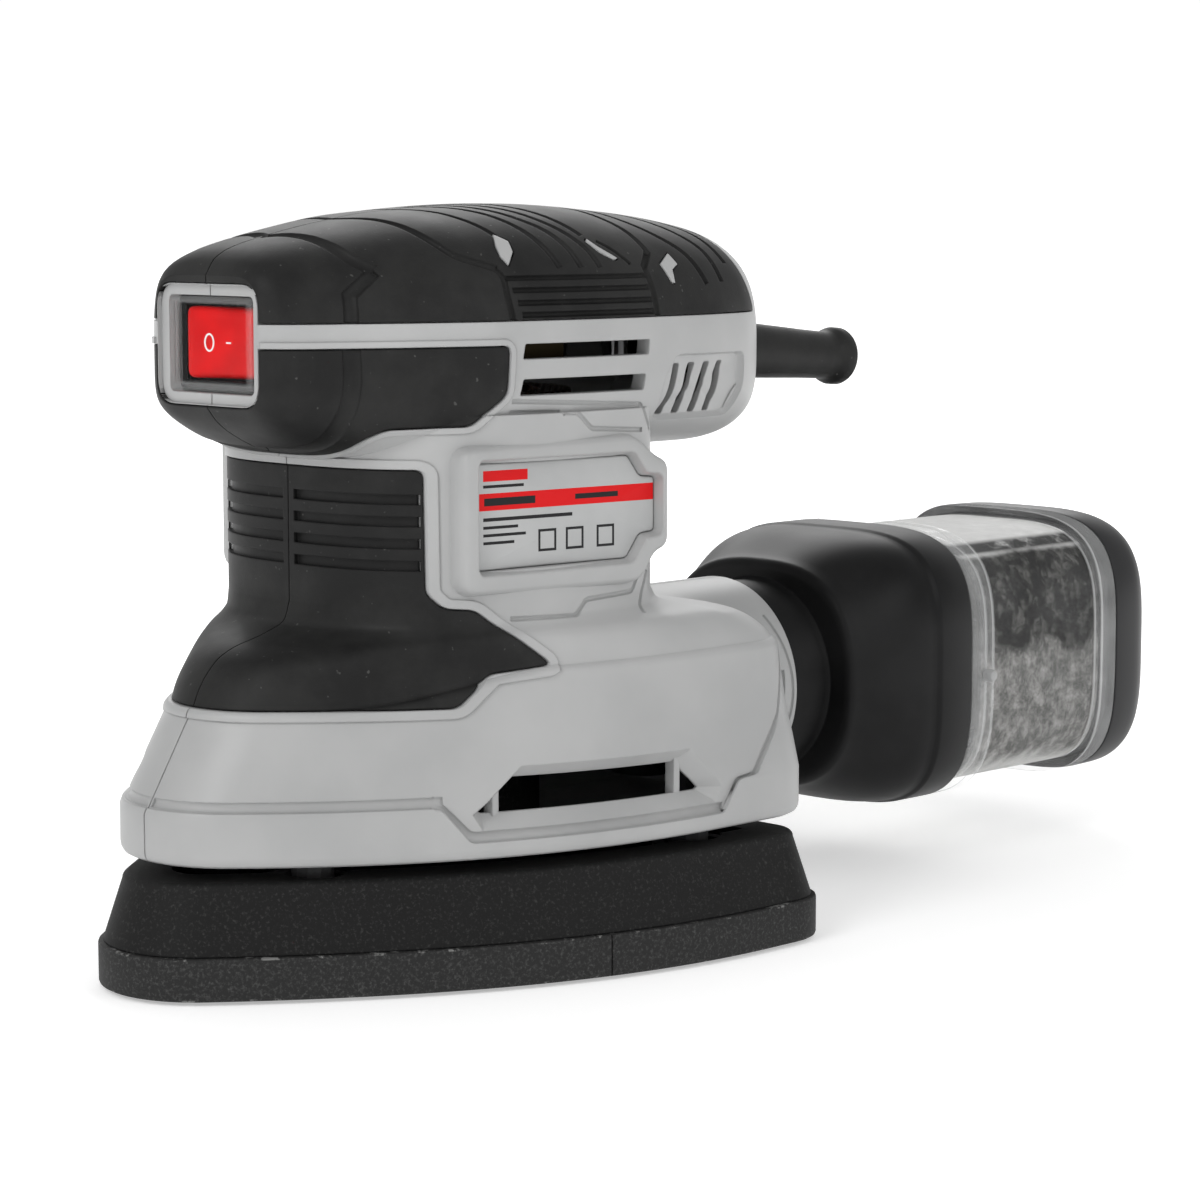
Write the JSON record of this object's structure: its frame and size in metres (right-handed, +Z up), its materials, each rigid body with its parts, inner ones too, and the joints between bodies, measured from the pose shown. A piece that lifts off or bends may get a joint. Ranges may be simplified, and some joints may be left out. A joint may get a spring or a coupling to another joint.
{
  "type": "orbital sander",
  "caption": "Palm orbital sander with a teardrop pad, a rubber covered grip, a front rocker switch and a clear dust box at the rear.",
  "frame": {"origin": "where the motor axis meets the sanding face", "axes": "+Z up along the motor axis, +Y towards the dust box, +X to the tool's left side"},
  "size_m": [0.106, 0.247, 0.13],
  "materials": {
    "housing_plastic": "light grey moulded plastic, satin",
    "grip_rubber": "black soft overmould, matt with a faint sheen",
    "label": "printed plate, satin",
    "black_plastic": "black moulded plastic",
    "red_key": "red translucent rocker",
    "clear_cover": "clear flexible cover",
    "clear_container": "clear polycarbonate",
    "steel": "plain steel",
    "copper": "enamelled copper wire",
    "brass": "stamped brass",
    "carbon": "pressed carbon",
    "nylon": "glass filled nylon",
    "pad_plastic": "black moulded pad, matt, finely speckled",
    "hook_layer": "hook layer on foam",
    "filter_fabric": "dusty filter cloth"
  },
  "bodies": {
    "housing": {"housing_left": "housing_plastic", "top_grip_left": "grip_rubber", "chin_grip_left": "grip_rubber", "neck_grip_left": "grip_rubber", "label_plate_left": "label", "housing_right": "housing_plastic", "top_grip_right": "grip_rubber", "chin_grip_right": "grip_rubber", "neck_grip_right": "grip_rubber", "label_plate_right": "label", "housing_screw_1": "steel", "housing_screw_2": "steel", "housing_screw_3": "steel", "housing_screw_4": "steel", "housing_screw_5": "steel", "switch_body": "black_plastic", "switch_cover": "clear_cover", "cord_boot": "grip_rubber", "port_seal": "grip_rubber", "cord_clamp": "nylon", "motor_plate": "nylon", "support_leg_front_left": "nylon", "support_leg_front_right": "nylon", "support_leg_rear_left": "nylon", "support_leg_rear_right": "nylon", "clamp_screw_left": "steel", "clamp_screw_right": "steel", "field_stator": "steel", "upper_bearing": "steel", "lower_bearing": "steel", "brush_spring_left": "steel", "brush_spring_right": "steel", "capacitor": "label", "field_coils": "copper", "brush_holder_left": "brass", "brush_holder_right": "brass", "carbon_brush_left": "carbon", "carbon_brush_right": "carbon"},
    "rocker": {"rocker_key": "red_key"},
    "rotor": {"armature_core": "steel", "motor_shaft": "steel", "counterweight": "steel", "armature_windings": "copper", "commutator": "copper", "dust_fan": "nylon"},
    "pad": {"pad_carrier": "pad_plastic", "tip_plate": "pad_plastic", "rear_plate": "pad_plastic", "pad_bearing": "steel", "plate_screw_1": "steel", "plate_screw_2": "steel", "plate_screw_3": "steel", "plate_screw_4": "steel", "tip_hook_layer": "hook_layer", "rear_hook_layer": "hook_layer"},
    "dust_box": {"dust_box_lid": "black_plastic", "filter_frame": "nylon", "dust_filter": "filter_fabric"},
    "container": {"dust_container": "clear_container", "dust_box_cap": "black_plastic"}
  },
  "joints": [
    {"name": "motor_spin", "type": "hinge", "parent": "housing", "child": "rotor", "pos_m": [0, 0, 0], "axis": [0, 0, 1], "continuous": true},
    {"name": "pad_orbit", "type": "hinge", "parent": "rotor", "child": "pad", "pos_m": [0.001, 0, 0], "axis": [0, 0, 1], "continuous": true},
    {"name": "rocker_tilt", "type": "hinge", "parent": "housing", "child": "rocker", "pos_m": [0, -0.0465, 0.107], "axis": [0, 0, 1], "range_deg": [-18, 0]},
    {"name": "dust_box_slide", "type": "slide", "parent": "housing", "child": "dust_box", "axis": [0, 1, 0], "range_m": [0, 0.04]},
    {"name": "container_slide", "type": "slide", "parent": "dust_box", "child": "container", "axis": [0, 1, 0], "range_m": [0, 0.05]}
  ],
  "couplings": [
    {"joint": "pad_orbit", "follows": "motor_spin", "ratio": -1}
  ]
}
